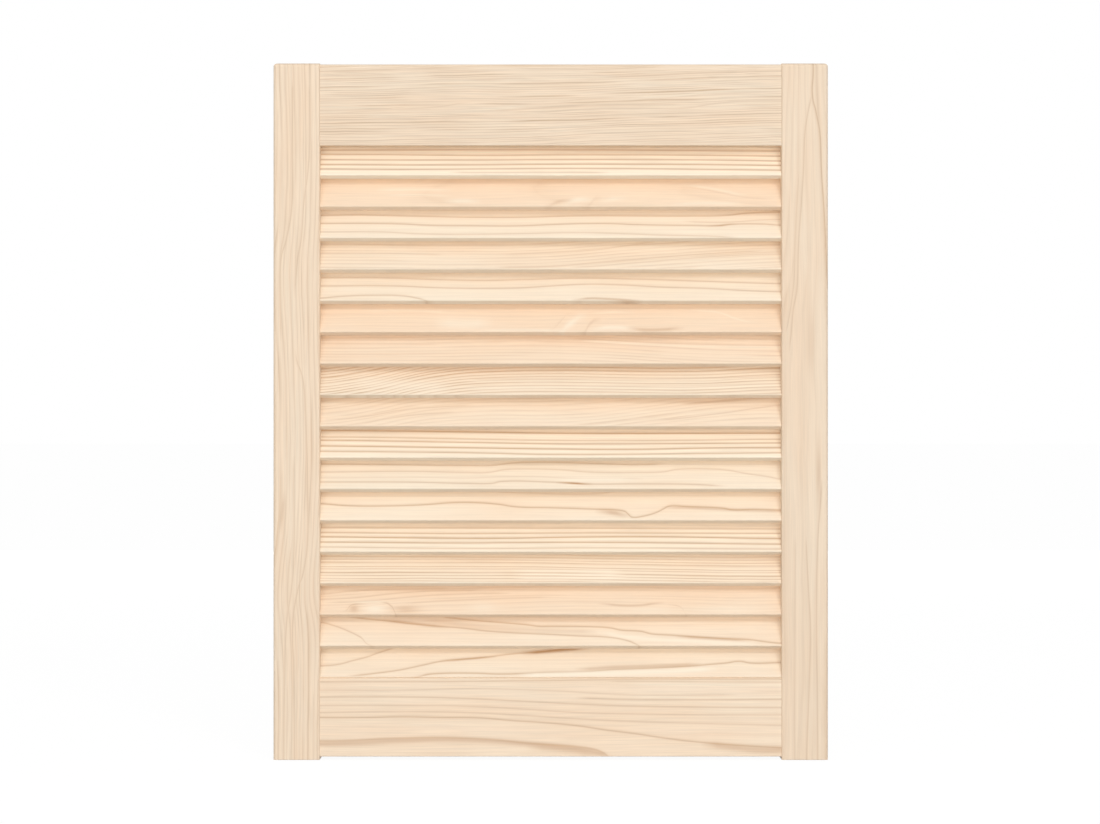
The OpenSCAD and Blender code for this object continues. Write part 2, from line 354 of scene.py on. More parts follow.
        3.2, drift=((-164, -4, -5), (-100, 0, 0), (164, 2, 2)),
        traced=(
            late(0.45, (-164, 15.8), (-142, 18.2), (-110, 19.6), (-70, 20)),
            late(0.45, (-164, 11.6), (-140, 12.8), (-116, 15.8), (-90, 18), (-50, 18.6)),
            late(0.4, (-158, 9), (-130, 10.2), (-105, 13), (-75, 15.4), (-30, 16.4)),
            late(0.4, (-105, 8.6), (-75, 10.4), (-35, 12.4), (0, 13)),
            late(0.8, (-146, 2), (-144, 5), (-141, 7.4), (-132, 8), width=0.6),
            late(1.2, (-119, 9), (-114, 6.5), (-111.5, 3), (-110, -1), width=0.9),
            clear(0.53, (-142, 9.2), (-128, 9.6), (-116, 10), width=0.8),
            resin(0.4, (36, 8), (50, 6.8), (62, 6.7), (78, 8.6), width=0.9),
            late(0.45, (84, 7.4), (90, 6.4), (94, 3.8), (97, -1), width=0.7),
        ),
        stains=((-140, -8.8, 3.4, 2.8, 0.42), (-103, -9.5, 9, 3.2, 0.32), (-125, -9.2, 8, 3.6, -0.75),
                (70, -10, 16, 2.6, -0.3), (130, -9.5, 30, 4, -0.3), (-48, -8, 10, 4, -0.3)),
        wave=0.6, lines=0.28, warmth=0.8, seed=19.1),
    "slat_16": board(
        3.4, traced=(
            late(0.55, (-164, 18), (-156, 16), (-145, 11.5), (-135, 6), (-127, -0.5)),
            late(0.7, (-145, 22.5), (-132, 21), (-116, 19.3), (-98, 16.9), (-80, 15), (-65, 13.8),
                 (-45, 11.2), (-25, 9.7), (0, 8.5), (20, 7.3), (40, 6.4), (50, 4.8), (56, 3), (62, 0),
                 (66, -2)),
            late(0.75, (-90, 24), (-70, 21.6), (-55, 19.8), (-35, 18), (-17, 16.2), (-8, 15), (0, 15),
                 (30, 14.6), (42, 13.8), (50, 12), (64, 11), (72, 8.9), (86, 7.9), (106, 6.4), (126, 5.1),
                 (141, 4.4), (151, 2.9), (164, 1.4)),
            resin(0.35, (-118, 19.5), (-98, 17.4), (-75, 14.8), width=1.4),
            resin(0.22, (-90, 19.5), (-60, 16), (-30, 13), (0, 11.8), (30, 11), width=2.2),
            resin(0.4, (92, 6.6), (106, 5.8), (126, 4.5), (140, 3.6), width=1.2),
            clear(0.72, (36, 9.5), (56, 6.5), (76, 4.5), (110, 2.6), (146, 1), width=1.8),
        ),
        uneven=0.5, seed=20.6),
    "slat_17": board(
        3.4, traced=(
            late(0.6, (-164, 8.4), (-153, 9.3), (-141, 12.6), (-131, 15.5), (-121, 19.6), (-108, 23)),
            late(0.7, (-143, 0.5), (-121, 3), (-106, 5.4), (-91, 9), (-75, 12.6), (-60, 14.1),
                 (-45, 15.5), (-30, 17.6), (0, 20.4), (15, 22.5), (34, 24)),
            resin(0.5, (-76, 12.4), (-60, 13.8), (-42, 15.4), width=0.8),
            resin(0.8, (-18, 18.8), (0, 20.4), (12, 21.6), (26, 22.6), width=1.5),
            late(0.75, (-97, -0.5), (-86, 1.8), (-78, 2.4), (-55, 2.6), (-35, 1.9), (0, 3.4), (25, 3.9),
                 (45, 5.5), (60, 6.1), (80, 7), (101, 8.4), (116, 9.8), (126, 10.8), (134, 12),
                 (143, 10.6), (164, 11)),
            resin(0.35, (20, 5.6), (45, 7.4), (62, 8), (88, 9), (105, 9.8), width=1.7),
            clear(1.0, (-20, 0.8), (25, 2.2), (60, 3.4), (90, 4.4), (116, 6), width=1.9),
        ),
        uneven=0.5, lines=0.1, tone=0.985, seed=21.3),
    # Beech, turned: close-grained and darker, with faint short lines
    "dowel": board(
        1.6, pith=(-30, 0), uneven=0.3, broken=0.4, lines=0.3, streaks=0.8, tone=0.85, warmth=0.5,
        seed=22.7),
}


class PineSettings(bpy.types.PropertyGroup):
    """The tones of the timber."""

    earlywood: bpy.props.FloatVectorProperty(
        name="Earlywood", description="Pale spring growth between the lines", subtype="COLOR",
        size=3, min=0, max=1, default=linear("#FBEBD4"))
    latewood: bpy.props.FloatVectorProperty(
        name="Latewood", description="Dense summer growth, which draws the lines", subtype="COLOR",
        size=3, min=0, max=1, default=linear("#C49B70"))
    warm: bpy.props.FloatVectorProperty(
        name="Warm patches", description="Pinkish tint that drifts through flat-sawn faces",
        subtype="COLOR", size=3, min=0, max=1, default=linear("#F9DEC1"))
    line_width: bpy.props.FloatProperty(
        name="Line width", description="How fast a latewood line fades inwards, in millimetres",
        min=0.1, max=3, default=0.9)
    stain: bpy.props.FloatVectorProperty(
        name="Stains", description="Resin and knots just under the face", subtype="COLOR",
        size=3, min=0, max=1, default=linear("#BC8B5B"))
    pale: bpy.props.FloatVectorProperty(
        name="Pale streaks", description="Dry timber that catches the most light", subtype="COLOR",
        size=3, min=0, max=1, default=linear("#FEF0DA"))
    roughness: bpy.props.FloatProperty(
        name="Roughness", description="Roughness of the planed and sanded face",
        subtype="FACTOR", min=0, max=1, default=0.62)


class StageSettings(bpy.types.PropertyGroup):
    """The light and the camera."""

    fill_strength: bpy.props.FloatProperty(
        name="Fill light", description="Brightness of the surroundings, where 1 is white",
        min=0, max=2, default=0.56)
    key_strength: bpy.props.FloatProperty(
        name="Key light", description="Brightness of the lamp at upper right, where 1 is white",
        min=0, max=50, default=10.8)
    soft_strength: bpy.props.FloatProperty(
        name="Soft light", description="Brightness of the big panel before the leaf, where 1 is white",
        min=0, max=20, default=1.03)
    front_strength: bpy.props.FloatProperty(
        name="Front light", description="Brightness of the low strip before the leaf, where 1 is white",
        min=0, max=20, default=8.1)
    back_strength: bpy.props.FloatProperty(
        name="Back light", description="Brightness of the low strip behind the leaf, where 1 is white",
        min=0, max=20, default=4.5)
    floor_colour: bpy.props.FloatVectorProperty(
        name="Floor", description="Colour that the floor reflects onto the leaf", subtype="COLOR",
        size=3, min=0, max=1, default=linear("#959595"))
    floor_shadow: bpy.props.FloatProperty(
        name="Floor shadow", description="How much of the leaf's shadow the white floor shows",
        subtype="FACTOR", min=0, max=1, default=0.3)
    camera_distance: bpy.props.FloatProperty(
        name="Camera distance", description="From the lens to the leaf's front face",
        unit="LENGTH", min=0.5, max=20, default=2.0)


# Sizes of the timber's patterns in millimetres, each along the grain and across it
SLOW_WAVE = (160, 40)
SMALL_WAVE = (40, 9)
FADING = (60, 5)
TINT = (80, 14)
# Streaks of fibre, coarser than real ones so that they show
FIBRE = (45, 0.9)

# How far each kind of wave bends the grain from side to side, in millimetres
SLOW_BEND = 12
SMALL_BEND = 3


def steps(size):
    """The scale at which a pattern of this size along and across the grain takes one step."""
    along, across = size
    return (1 / along, 1 / across, 1 / across)


def pine_figure():
    """Builds the node group that draws growth rings, fibres and drifting tints through a board.

    Rings are shells round the pith, so the faces, edges and sawn ends of a board agree."""
    middle = (0.5, 0.5, 0.5)
    tree = bpy.data.node_groups.new("Pine figure", "ShaderNodeTree")
    for name in ("Place", "Pith", "Lean"):
        tree.interface.new_socket(name, in_out="INPUT", socket_type="NodeSocketVector")
    for name in ("Lift", "Start", "Ring", "Uneven", "Broken", "Wave", "Line width", "Seed"):
        tree.interface.new_socket(name, in_out="INPUT", socket_type="NodeSocketFloat")
    for name in ("Late", "Fibre", "Tint"):
        tree.interface.new_socket(name, in_out="OUTPUT", socket_type="NodeSocketFloat")
    given = add(tree, "NodeGroupInput").outputs
    place = given["Place"]
    along = add(tree, "ShaderNodeSeparateXYZ", {0: place}).outputs["X"]

    # Slow waves of the whole log, then small ones, each longer along the grain than across it
    slow = add(tree, "ShaderNodeVectorMath", {0: place, 1: steps(SLOW_WAVE)}, operation="MULTIPLY")
    slow = add(tree, "ShaderNodeTexNoise", {"Vector": slow.outputs[0], "W": given["Seed"], "Scale": 1,
               "Detail": 1, "Roughness": 0.4}, noise_dimensions="4D").outputs["Color"]
    slow = add(tree, "ShaderNodeVectorMath", {0: slow, 1: middle}, operation="SUBTRACT")
    fine = add(tree, "ShaderNodeVectorMath", {0: place, 1: steps(SMALL_WAVE)}, operation="MULTIPLY")
    fine = add(tree, "ShaderNodeTexNoise", {"Vector": fine.outputs[0], "W": given["Seed"], "Scale": 1,
               "Detail": 2, "Roughness": 0.5}, noise_dimensions="4D").outputs["Color"]
    fine = add(tree, "ShaderNodeVectorMath", {0: fine, 1: middle}, operation="SUBTRACT")
    bend = add(tree, "ShaderNodeVectorMath", {0: slow.outputs[0], 1: (SLOW_BEND,) * 3},
               operation="MULTIPLY")
    bend = add(tree, "ShaderNodeVectorMath", {0: fine.outputs[0], 1: (SMALL_BEND,) * 3,
               2: bend.outputs[0]}, operation="MULTIPLY_ADD")
    bend = add(tree, "ShaderNodeVectorMath", {0: bend.outputs[0], "Scale": given["Wave"]}, operation="SCALE")
    bent = add(tree, "ShaderNodeVectorMath", {0: place, 1: bend.outputs[0]})

    # How far a point is from the pith, which leans away along the grain
    pith = add(tree, "ShaderNodeVectorMath", {0: given["Lean"], "Scale": along}, operation="SCALE")
    pith = add(tree, "ShaderNodeVectorMath", {0: pith.outputs[0], 1: given["Pith"]})
    lift = add(tree, "ShaderNodeCombineXYZ", {"Y": given["Lift"]})
    laid = add(tree, "ShaderNodeVectorMath", {0: bent.outputs[0], 1: lift.outputs[0]}, operation="SUBTRACT")
    out = add(tree, "ShaderNodeVectorMath", {0: laid.outputs[0], 1: pith.outputs[0]}, operation="SUBTRACT")
    out = add(tree, "ShaderNodeVectorMath", {0: out.outputs[0], 1: (0, 1, 1)}, operation="MULTIPLY")
    radius = add(tree, "ShaderNodeVectorMath", {0: out.outputs[0]}, operation="LENGTH").outputs["Value"]
    radius = add(tree, "ShaderNodeMath", {0: radius, 1: given["Start"]}, operation="SUBTRACT")

    # Years differ in width: the count runs up to so many years ahead or behind, over two or three years
    most_ahead = 1.25
    pace = 0.41
    years = add(tree, "ShaderNodeMath", {0: radius.outputs[0], 1: given["Ring"]}, operation="DIVIDE")
    drift = add(tree, "ShaderNodeMath", {0: years.outputs[0], 1: given["Seed"]})
    drift = add(tree, "ShaderNodeTexNoise", {"W": drift.outputs[0], "Scale": pace, "Detail": 1},
                noise_dimensions="1D")
    drift = add(tree, "ShaderNodeMath", {0: drift.outputs["Fac"], 1: 0.5}, operation="SUBTRACT")
    drift = add(tree, "ShaderNodeMath", {0: drift.outputs[0], 1: given["Uneven"]}, operation="MULTIPLY")
    years = add(tree, "ShaderNodeMath", {0: drift.outputs[0], 1: 2 * most_ahead, 2: years.outputs[0]},
                operation="MULTIPLY_ADD").outputs[0]

    # A dense line at the end of each year fades slowly inwards and twice as fast outwards
    line = add(tree, "ShaderNodeMath", {0: years}, operation="ROUND").outputs[0]
    off = add(tree, "ShaderNodeMath", {0: years, 1: line}, operation="SUBTRACT")
    off = add(tree, "ShaderNodeMath", {0: off.outputs[0], 1: given["Ring"]}, operation="MULTIPLY")
    off = add(tree, "ShaderNodeMath", {0: off.outputs[0], 1: given["Line width"]}, operation="DIVIDE")
    inwards = add(tree, "ShaderNodeMath", {0: off.outputs[0], 1: -1}, operation="MULTIPLY")
    outwards = add(tree, "ShaderNodeMath", {0: off.outputs[0], 1: 2}, operation="MULTIPLY")
    off = add(tree, "ShaderNodeMath", {0: inwards.outputs[0], 1: outwards.outputs[0]}, operation="MAXIMUM")
    off = add(tree, "ShaderNodeMath", {0: off.outputs[0], 1: -1}, operation="MULTIPLY")
    dense = add(tree, "ShaderNodeMath", {0: off.outputs[0]}, operation="EXPONENT")

    # Some years are denser than others, and a line fades and comes back along the grain
    chance = add(tree, "ShaderNodeMath", {0: line, 1: given["Seed"]})
    chance = add(tree, "ShaderNodeTexWhiteNoise", {"W": chance.outputs[0]}, noise_dimensions="1D")
    chance = add(tree, "ShaderNodeMath", {0: chance.outputs["Value"], 1: given["Uneven"]},
                 operation="MULTIPLY")
    whole, gone = 0.62, 0.36
    fade = add(tree, "ShaderNodeVectorMath", {0: place, 1: steps(FADING)}, operation="MULTIPLY")
    fade = add(tree, "ShaderNodeTexNoise", {"Vector": fade.outputs[0], "W": given["Seed"], "Scale": 1,
               "Detail": 1}, noise_dimensions="4D")
    fade = add(tree, "ShaderNodeMapRange", {"Value": fade.outputs["Fac"], "From Min": whole,
               "From Max": gone})
    fade = add(tree, "ShaderNodeMath", {0: fade.outputs[0], 1: given["Broken"]}, operation="MULTIPLY")
    fade = add(tree, "ShaderNodeMath", {0: fade.outputs[0], 1: chance.outputs[0]}, operation="MAXIMUM")
    fade = add(tree, "ShaderNodeMath", {0: 1.0, 1: fade.outputs[0]}, operation="SUBTRACT")
    dense = add(tree, "ShaderNodeMath", {0: dense.outputs[0], 1: fade.outputs[0]}, operation="MULTIPLY")

    # Between the lines the timber darkens slowly towards the end of the year
    darkest = 0.2
    part = add(tree, "ShaderNodeMath", {0: years}, operation="FRACT")
    part = add(tree, "ShaderNodeMath", {0: part.outputs[0], 1: 2}, operation="POWER")
    late = add(tree, "ShaderNodeMath", {0: part.outputs[0], 1: darkest, 2: dense.outputs[0]},
               operation="MULTIPLY_ADD")

    # Fibres follow the bent grain
    fibre = add(tree, "ShaderNodeVectorMath", {0: bent.outputs[0], 1: steps(FIBRE)}, operation="MULTIPLY")
    fibre = add(tree, "ShaderNodeTexNoise", {"Vector": fibre.outputs[0], "W": given["Seed"], "Scale": 1,
                "Detail": 2, "Roughness": 0.6}, noise_dimensions="4D").outputs["Fac"]

    # Tints drift over a few centimetres
    tint = add(tree, "ShaderNodeVectorMath", {0: place, 1: steps(TINT)}, operation="MULTIPLY")
    tint = add(tree, "ShaderNodeTexNoise", {"Vector": tint.outputs[0], "W": given["Seed"], "Scale": 1,
               "Detail": 2}, noise_dimensions="4D")
    tint = add(tree, "ShaderNodeMapRange", {"Value": tint.outputs["Fac"], "From Min": 0.33, "From Max": 0.67})

    add(tree, "NodeGroupOutput", {"Late": late.outputs[0], "Fibre": fibre, "Tint": tint.outputs[0]})
    return tree


def oval(tree, place, spot):
    """A soft oval on a board's face, as strong as the spot says in its middle and fading round it."""
    along, across, half_length, half_height, strength = spot
    off = add(tree, "ShaderNodeVectorMath", {0: place, 1: (along, across, 0)}, operation="SUBTRACT")
    off = add(tree, "ShaderNodeVectorMath", {0: off.outputs[0], 1: (1 / half_length, 1 / half_height, 0)},
              operation="MULTIPLY")
    off = add(tree, "ShaderNodeVectorMath", {0: off.outputs[0], 1: off.outputs[0]}, operation="DOT_PRODUCT")
    off = add(tree, "ShaderNodeMath", {0: off.outputs["Value"], 1: -1}, operation="MULTIPLY")
    off = add(tree, "ShaderNodeMath", {0: off.outputs[0]}, operation="EXPONENT")
    return add(tree, "ShaderNodeMath", {0: off.outputs[0], 1: strength}, operation="MULTIPLY").outputs[0]


def lay_curve(node, stops):
    """Runs a curve node through stops from left to right, level before the first and past the last."""
    points = node.mapping.curves[0].points
    points[0].location = (0, stops[0][1])
    points[1].location = (1, stops[-1][1])
    for x, y in stops:
        if 0.001 < x < 0.999:
            points.new(x, y)
    node.mapping.update()


def grain_lift(tree, place, cut, half_length, half_width):
    """How far the grain has drifted across the face at each place along the board.

    The curves reach from minus to plus the spread, in millimetres."""
    spread = 40
    axes = add(tree, "ShaderNodeSeparateXYZ", {0: place}).outputs
    along = add(tree, "ShaderNodeMapRange", {"Value": axes["X"], "From Min": -half_length,
                "From Max": half_length})
    edges = []
    for edge in (1, 2):
        curve = add(tree, "ShaderNodeFloatCurve", {"Value": along.outputs[0]})
        lay_curve(curve, sorted((0.5 + point[0] / half_length / 2, 0.5 + point[edge] / spread / 2)
                                for point in cut.drift or ((0, 0, 0),)))
        edges.append(curve.outputs[0])
    across = add(tree, "ShaderNodeMapRange", {"Value": axes["Y"], "From Min": -half_width,
                 "From Max": half_width})
    lift = add(tree, "ShaderNodeMix", {"Factor": across.outputs[0], "A": edges[0], "B": edges[1]})
    return add(tree, "ShaderNodeMapRange", {"Value": lift.outputs[0], "To Min": -spread,
               "To Max": spread}, clamp=False).outputs[0]


def traced_line(tree, place, line, half):
    """How strong a traced line is at each place.

    Latewood is crisp below and fades upwards, a band is soft on both sides, and both fade at their
    ends, unless they run off the board. Its curve reaches from low to high, in millimetres."""
    low, high = -10, 70
    edge_round = 0.5
    crispness = 1.8
    off_board = 10
    fade_out, fade_in = 4, 8
    axes = add(tree, "ShaderNodeSeparateXYZ", {0: place}).outputs
    along = add(tree, "ShaderNodeMapRange", {"Value": axes["X"], "From Min": -half[0], "From Max": half[0]})
    curve = add(tree, "ShaderNodeFloatCurve", {"Value": along.outputs[0]})
    lay_curve(curve, [(0.5 + u / half[0] / 2, (up - low) / (high - low)) for u, up in line.points])

    # The line's own height on the face, counted from where the rounding of the lower edge ends
    foot = edge_round - half[1]
    level = add(tree, "ShaderNodeMapRange", {"Value": curve.outputs[0], "To Min": low + foot,
                "To Max": high + foot}, clamp=False)
    off = add(tree, "ShaderNodeMath", {0: axes["Y"], 1: level.outputs[0]}, operation="SUBTRACT")
    above = add(tree, "ShaderNodeMath", {0: off.outputs[0], 1: 1 / line.width}, operation="MULTIPLY")
    if line.kind == "late":
        below = add(tree, "ShaderNodeMath", {0: above.outputs[0], 1: -crispness}, operation="MULTIPLY")
        off = add(tree, "ShaderNodeMath", {0: above.outputs[0], 1: below.outputs[0]}, operation="MAXIMUM")
    else:
        off = add(tree, "ShaderNodeMath", {0: above.outputs[0], 1: above.outputs[0]}, operation="MULTIPLY")
    off = add(tree, "ShaderNodeMath", {0: off.outputs[0], 1: -1}, operation="MULTIPLY")
    dense = add(tree, "ShaderNodeMath", {0: off.outputs[0]}, operation="EXPONENT").outputs[0]
    first, last = line.points[0][0], line.points[-1][0]
    if first > off_board - half[0]:
        rise = add(tree, "ShaderNodeMapRange", {"Value": axes["X"], "From Min": first - fade_out,
                   "From Max": first + fade_in})
        dense = add(tree, "ShaderNodeMath", {0: dense, 1: rise.outputs[0]}, operation="MULTIPLY").outputs[0]
    if last < half[0] - off_board:
        fall = add(tree, "ShaderNodeMapRange", {"Value": axes["X"], "From Min": last + fade_out,
                   "From Max": last - fade_in})
        dense = add(tree, "ShaderNodeMath", {0: dense, 1: fall.outputs[0]}, operation="MULTIPLY").outputs[0]
    return add(tree, "ShaderNodeMath", {0: dense, 1: line.strength}, operation="MULTIPLY").outputs[0]


def bare_timber(name, cut, axes, centre, half, pine):
    """Makes the material of one board: planed and sanded pine, or turned beech for the dowels.

    Bare timber is dull, pale and fibrous, with fine lines of denser latewood."""
    tint_range = 0.2
    grain = axes[0]
    material = bpy.data.materials.new(name)
    material.use_nodes = True
    tree = material.node_tree
    tree.nodes.clear()
    turn = Matrix(axes).transposed().to_euler()
    place = add(tree, "ShaderNodeTexCoord").outputs["Object"]
    place = add(tree, "ShaderNodeMapping", {"Vector": place, "Location": centre, "Rotation": turn,
                "Scale": (MM, MM, MM)}, vector_type="TEXTURE").outputs[0]

    # The rings are counted from one of the lines, and a line takes up at most this share of a year
    line_share = 0.22
    start = math.hypot(cut.pith[0], half[2] - cut.pith[1]) + cut.line
    figure = add(tree, "ShaderNodeGroup", node_tree=bpy.data.node_groups["Pine figure"])
    values = {
        "Pith": (0, *cut.pith), "Lean": (0, *cut.lean), "Start": start, "Ring": cut.ring,
        "Uneven": cut.uneven, "Broken": cut.broken, "Wave": cut.wave, "Seed": cut.seed,
        "Line width": min(pine.line_width, cut.ring * line_share),
    }
    for socket, value in values.items():
        figure.inputs[socket].default_value = value
    tree.links.new(place, figure.inputs["Place"])
    tree.links.new(grain_lift(tree, place, cut, half[0], half[1]), figure.inputs["Lift"])

    base = add(tree, "ShaderNodeMapRange", {"Value": figure.outputs["Tint"],
               "To Min": max(0, cut.warmth - tint_range), "To Max": min(1, cut.warmth + tint_range)})
    base = add(tree, "ShaderNodeMix", {"Factor": base.outputs[0], "A": (*pine.earlywood, 1),
               "B": (*pine.warm, 1)}, data_type="RGBA").outputs["Result"]

    # Sanding has taken most of the fine lines off a board's narrow edges
    gone, kept_from, left_over = 0.2, 1.4, 0.3
    across = add(tree, "ShaderNodeSeparateXYZ", {0: place}).outputs["Y"]
    across = add(tree, "ShaderNodeMath", {0: across}, operation="ABSOLUTE").outputs[0]
    kept = add(tree, "ShaderNodeMapRange", {"Value": across, "From Min": half[1] - gone,
               "From Max": half[1] - kept_from, "To Min": left_over * cut.lines, "To Max": cut.lines})
    line = add(tree, "ShaderNodeMath", {0: figure.outputs["Late"], 1: kept.outputs[0]},
               operation="MULTIPLY").outputs[0]
    bands = []
    for mark in cut.traced:
        amount = traced_line(tree, place, mark, half)
        if mark.kind == "late":
            line = add(tree, "ShaderNodeMath", {0: line, 1: amount}, operation="MAXIMUM").outputs[0]
        else:
            bands.append((amount, pine.stain if mark.kind == "resin" else pine.pale))
    fibre_share = 0.35
    height = add(tree, "ShaderNodeMath", {0: figure.outputs["Fibre"], 1: fibre_share, 2: line},
                 operation="MULTIPLY_ADD").outputs[0]
    colour = add(tree, "ShaderNodeMix", {"Factor": line, "A": base, "B": (*pine.latewood, 1)},
                 data_type="RGBA").outputs["Result"]
    for *shape, strength in cut.stains:
        amount = oval(tree, place, (*shape, abs(strength)))
        bands.append((amount, pine.stain if strength > 0 else pine.pale))
    for amount, tint in bands:
        colour = add(tree, "ShaderNodeMix", {"Factor": amount, "A": colour, "B": (*tint, 1)},
                     data_type="RGBA").outputs["Result"]

    # Streaks of fibre are darker or paler than the board, and the board's tone scales the whole colour;
    # the slats' tones are partly painted light, lifted to stand in for the light their tilted faces catch
    darker, paler = 0.10 * cut.streaks, 0.06 * cut.streaks
    shade = add(tree, "ShaderNodeMapRange", {"Value": figure.outputs["Fibre"], "From Min": 0.3,
                "From Max": 0.7, "To Min": cut.tone * (1 - darker), "To Max": cut.tone * (1 + paler)})
    colour = add(tree, "ShaderNodeVectorMath", {0: colour, "Scale": shade.outputs[0]},
                 operation="SCALE").outputs[0]

    # Sawn ends drink more light than planed faces
    end_tone = 0.86
    normal = add(tree, "ShaderNodeNewGeometry").outputs["Normal"]
    end = add(tree, "ShaderNodeVectorMath", {0: normal, 1: grain}, operation="DOT_PRODUCT")
    end = add(tree, "ShaderNodeMath", {0: end.outputs["Value"]}, operation="ABSOLUTE")
    end = add(tree, "ShaderNodeMapRange", {"Value": end.outputs[0], "From Min": 0.5, "From Max": 0.95,
              "To Min": 1.0, "To Max": end_tone})
    colour = add(tree, "ShaderNodeVectorMath", {0: colour, "Scale": end.outputs[0]},
                 operation="SCALE").outputs[0]

    relief = 0.06 * MM
    bump = add(tree, "ShaderNodeBump", {"Height": height, "Strength": 0.5, "Distance": relief})
    surface = add(tree, "ShaderNodeBsdfPrincipled", {"Base Color": colour, "Roughness": pine.roughness,
                  "IOR": 1.45, "Normal": bump.outputs[0]})
    add(tree, "ShaderNodeOutputMaterial", {"Surface": surface.outputs[0]})
    return material


def dress(name, cut, grain, face, timber="planed_pine"):
    """Gives a CAD node the timber of its board, laid along the grain and centred on the board."""
    axes = (grain, face.cross(grain), face)
    centre = Vector()
    half = []
    for axis in axes:
        heights = [vertex.co.dot(axis) for vertex in NODES[name].data.vertices]
        centre += axis * (min(heights) + max(heights)) / 2
        half.append((max(heights) - min(heights)) / MM / 2)
    material = bare_timber(timber + "_" + name, cut, axes, centre, half, bpy.context.scene.pine)
    for slot in NODES[name].material_slots:
        slot.material = material


class DOOR_OT_stiles(bpy.types.Operator):
    """Finish both stiles in pine that runs upright"""

    bl_idname = "door.stiles"
    bl_label = "Stiles"

    def execute(self, context):
        for name in STILE_NAMES:
            dress(name, BOARDS[name], Z_AXIS, FRONT)
        return {"FINISHED"}


class DOOR_OT_rails(bpy.types.Operator):
    """Finish both rails in pine that runs across"""

    bl_idname = "door.rails"
    bl_label = "Rails"

    def execute(self, context):
        for name in RAIL_NAMES:
            dress(name, BOARDS[name], X_AXIS, FRONT)
        return {"FINISHED"}


def slat_face(name):
    """The way a slat's upper face looks, worked out from the slat's lean in the solid."""
    mesh = NODES[name].data
    widest = max(mesh.polygons, key=lambda p: p.area if p.normal.y < 0 < p.normal.z else 0)
    return widest.normal.normalized()


class DOOR_OT_slats(bpy.types.Operator):
    """Finish every slat in its own board of pine"""

    bl_idname = "door.slats"
    bl_label = "Slats"

    def execute(self, context):
        for name in SLAT_NAMES:
            dress(name, BOARDS[name], X_AXIS, slat_face(name))
        return {"FINISHED"}


class DOOR_OT_dowels(bpy.types.Operator):
    """Finish the hidden beech dowels of the corner joints"""

    bl_idname = "door.dowels"
    bl_label = "Dowels"

    def execute(self, context):
        for name in DOWEL_NAMES:
            dress(name, BOARDS["dowel"], X_AXIS, FRONT, timber="turned_beech")
        return {"FINISHED"}


def direct_view(tree):
    """1 for rays that see the stage from the camera, in gloss or through glass, and 0 for its light."""
    rays = add(tree, "ShaderNodeLightPath").outputs
    seen = add(tree, "ShaderNodeMath", {0: rays["Is Camera Ray"], 1: rays["Is Glossy Ray"]},
               operation="MAXIMUM")
    return add(tree, "ShaderNodeMath", {0: seen.outputs[0], 1: rays["Is Transmission Ray"]},
               operation="MAXIMUM").outputs[0]


def white_backdrop(stage):
    """A world that shows plain white to the camera and in gloss, and lights the leaf evenly."""
    world = bpy.data.worlds.new("white_backdrop")
    bpy.context.scene.world = world
    world.use_nodes = True
    tree = world.node_tree
    tree.nodes.clear()
    fill = add(tree, "ShaderNodeBackground", {"Color": (1, 1, 1, 1), "Strength": stage.fill_strength})
    white = add(tree, "ShaderNodeBackground", {"Color": (1, 1, 1, 1), "Strength": 1.0})
    both = add(tree, "ShaderNodeMixShader", {0: direct_view(tree), 1: fill.outputs[0],
               2: white.outputs[0]})
    add(tree, "ShaderNodeOutputWorld", {"Surface": both.outputs[0]})


def white_floor(stage):
    """Matt white floor paper: white to the camera, with a faint shadow of what stands on it.

    Where nothing shades it, its lit share and its glow add up to plain white."""
    material = bpy.data.materials.new("white_floor_paper")
    material.use_nodes = True
    tree = material.node_tree
    tree.nodes.clear()
    lit = 0.2
    glow = (1 - stage.floor_shadow * lit) / (1 - stage.floor_shadow)
    matt = add(tree, "ShaderNodeBsdfDiffuse", {"Color": (*stage.floor_colour, 1)})
    white = add(tree, "ShaderNodeEmission", {"Color": (1, 1, 1, 1), "Strength": glow})
    share = add(tree, "ShaderNodeMath", {0: direct_view(tree), 1: 1 - stage.floor_shadow},
                operation="MULTIPLY")
    both = add(tree, "ShaderNodeMixShader", {0: share.outputs[0], 1: matt.outputs[0], 2: white.outputs[0]})
    add(tree, "ShaderNodeOutputMaterial", {"Surface": both.outputs[0]})
    return material


def add_lamp(name, place, towards, width, height, brightness):
    """Adds a soft lamp that lies towards that way from the leaf and shines back along it."""
    light = bpy.data.lights.new(name, "AREA")
    light.shape = "RECTANGLE"
    light.size = width
    light.size_y = height
    light.energy = brightness * math.pi * width * height
    lamp = bpy.data.objects.new(name, light)
    lamp.location = place
    lamp.rotation_euler = towards.to_track_quat("Z", "Y").to_euler()
    lamp.visible_camera = False
    bpy.context.collection.objects.link(lamp)


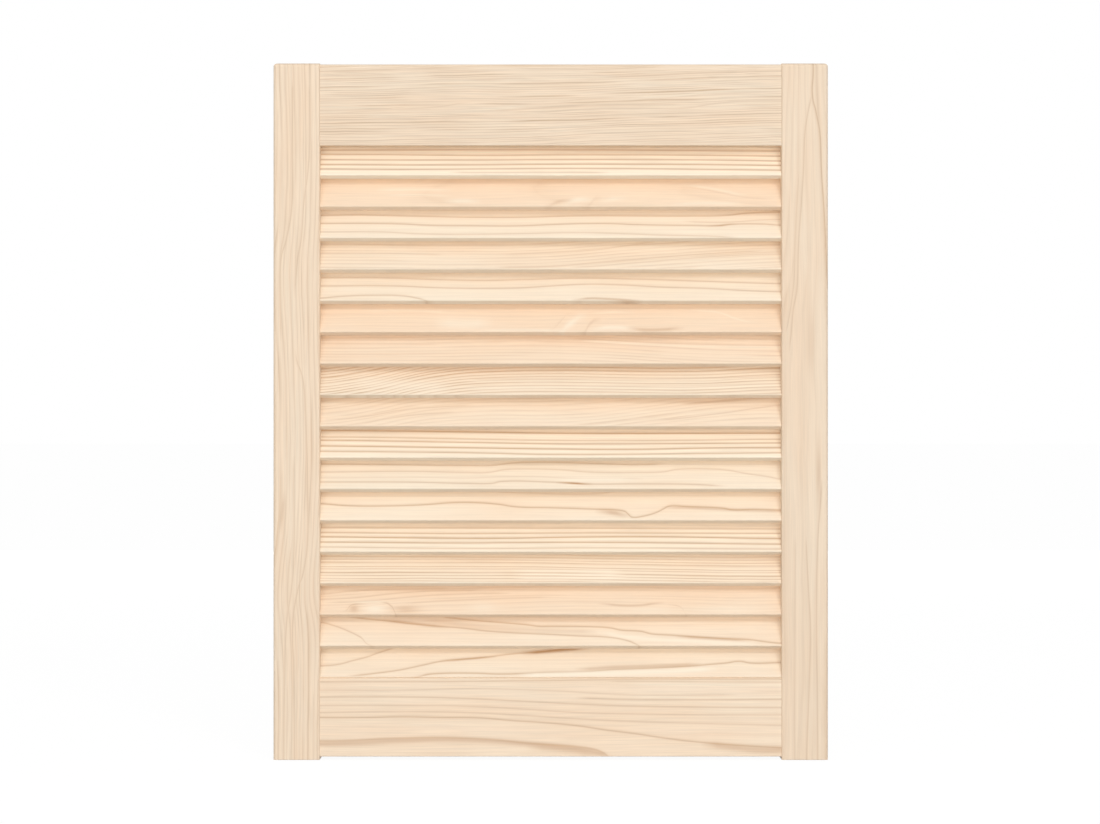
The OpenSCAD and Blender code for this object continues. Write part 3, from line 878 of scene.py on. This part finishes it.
class DOOR_OT_stage(bpy.types.Operator):
    """Set the lamps, the even fill, the floor and the camera"""

    bl_idname = "door.stage"
    bl_label = "Stage"

    def execute(self, context):
        stage = context.scene.stage
        context.scene.view_settings.view_transform = "Standard"
        white_backdrop(stage)

        floor_reach = 20
        floor = bpy.data.objects.new("floor", bpy.data.meshes.new("floor"))
        sheet = bmesh.new()
        bmesh.ops.create_grid(sheet, x_segments=1, y_segments=1, size=floor_reach)
        sheet.to_mesh(floor.data)
        sheet.free()
        floor.data.materials.append(white_floor(stage))
        context.collection.objects.link(floor)

        # The key at upper right casts the shadows under the slats and beside the right stile, and a big
        # panel softens them. A low strip before the leaf shines in between the slats, and another one
        # behind it keeps its back bright without shining through the gaps.
        away = 3
        towards = Vector((0.34, -1, 0.56)).normalized()
        add_lamp("key", LEAF_MID + towards * away, towards, 0.58, 0.58, stage.key_strength)
        towards = Vector((0, -1, 0.14)).normalized()
        add_lamp("soft", LEAF_MID + towards * away, towards, 2.77, 2.77, stage.soft_strength)
        low_strip = Z_AXIS * 0.19
        for name, side, strength in (("front", FRONT, stage.front_strength),
                                     ("back", -FRONT, stage.back_strength)):
            add_lamp(name, low_strip + side * away, side, 4.0, 0.34, strength)

        # The leaf fills 555 of the picture's 1100 columns and stands a hair right of its middle
        camera = bpy.data.cameras.new("camera")
        leaf_columns = 554.8
        picture_columns = 1100
        picture_width = (LEAF_HIGH.x - LEAF_LOW.x) * picture_columns / leaf_columns
        camera.sensor_width = 36
        camera.lens = camera.sensor_width * stage.camera_distance / picture_width
        camera.clip_end = 100
        eye = bpy.data.objects.new("camera", camera)
        aside = Vector((-0.5, 0, -0.35)) * MM
        eye.location = Vector((LEAF_MID.x, LEAF_LOW.y - stage.camera_distance, LEAF_MID.z)) + aside
        eye.rotation_euler = (math.pi / 2, 0, 0)
        context.collection.objects.link(eye)
        context.scene.camera = eye
        return {"FINISHED"}


class DOOR_PT_panel(bpy.types.Panel):
    """Lists the settings and the steps of the door"""

    bl_label = "Louvred door"
    bl_idname = "DOOR_PT_panel"
    bl_space_type = "VIEW_3D"
    bl_region_type = "UI"
    bl_category = "Door"

    def draw(self, context):
        column = self.layout.column()
        for group in (context.scene.pine, context.scene.stage):
            for name in group.__annotations__:
                column.prop(group, name)
        for step in STEPS:
            column.operator(step.bl_idname)


STEPS = (DOOR_OT_stiles, DOOR_OT_rails, DOOR_OT_slats, DOOR_OT_dowels, DOOR_OT_stage)
CLASSES = (PineSettings, StageSettings) + STEPS + (DOOR_PT_panel,)


def register():
    """Adds the settings, operators and panel."""
    for cls in CLASSES:
        bpy.utils.register_class(cls)
    bpy.types.Scene.pine = bpy.props.PointerProperty(type=PineSettings)
    bpy.types.Scene.stage = bpy.props.PointerProperty(type=StageSettings)


def unregister():
    """Takes them away again."""
    del bpy.types.Scene.stage
    del bpy.types.Scene.pine
    for cls in reversed(CLASSES):
        bpy.utils.unregister_class(cls)


def main():
    """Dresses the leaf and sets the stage."""
    register()
    pine_figure()
    bpy.ops.door.stiles()
    bpy.ops.door.rails()
    bpy.ops.door.slats()
    bpy.ops.door.dowels()
    bpy.ops.door.stage()


if __name__ == "__main__":
    main()
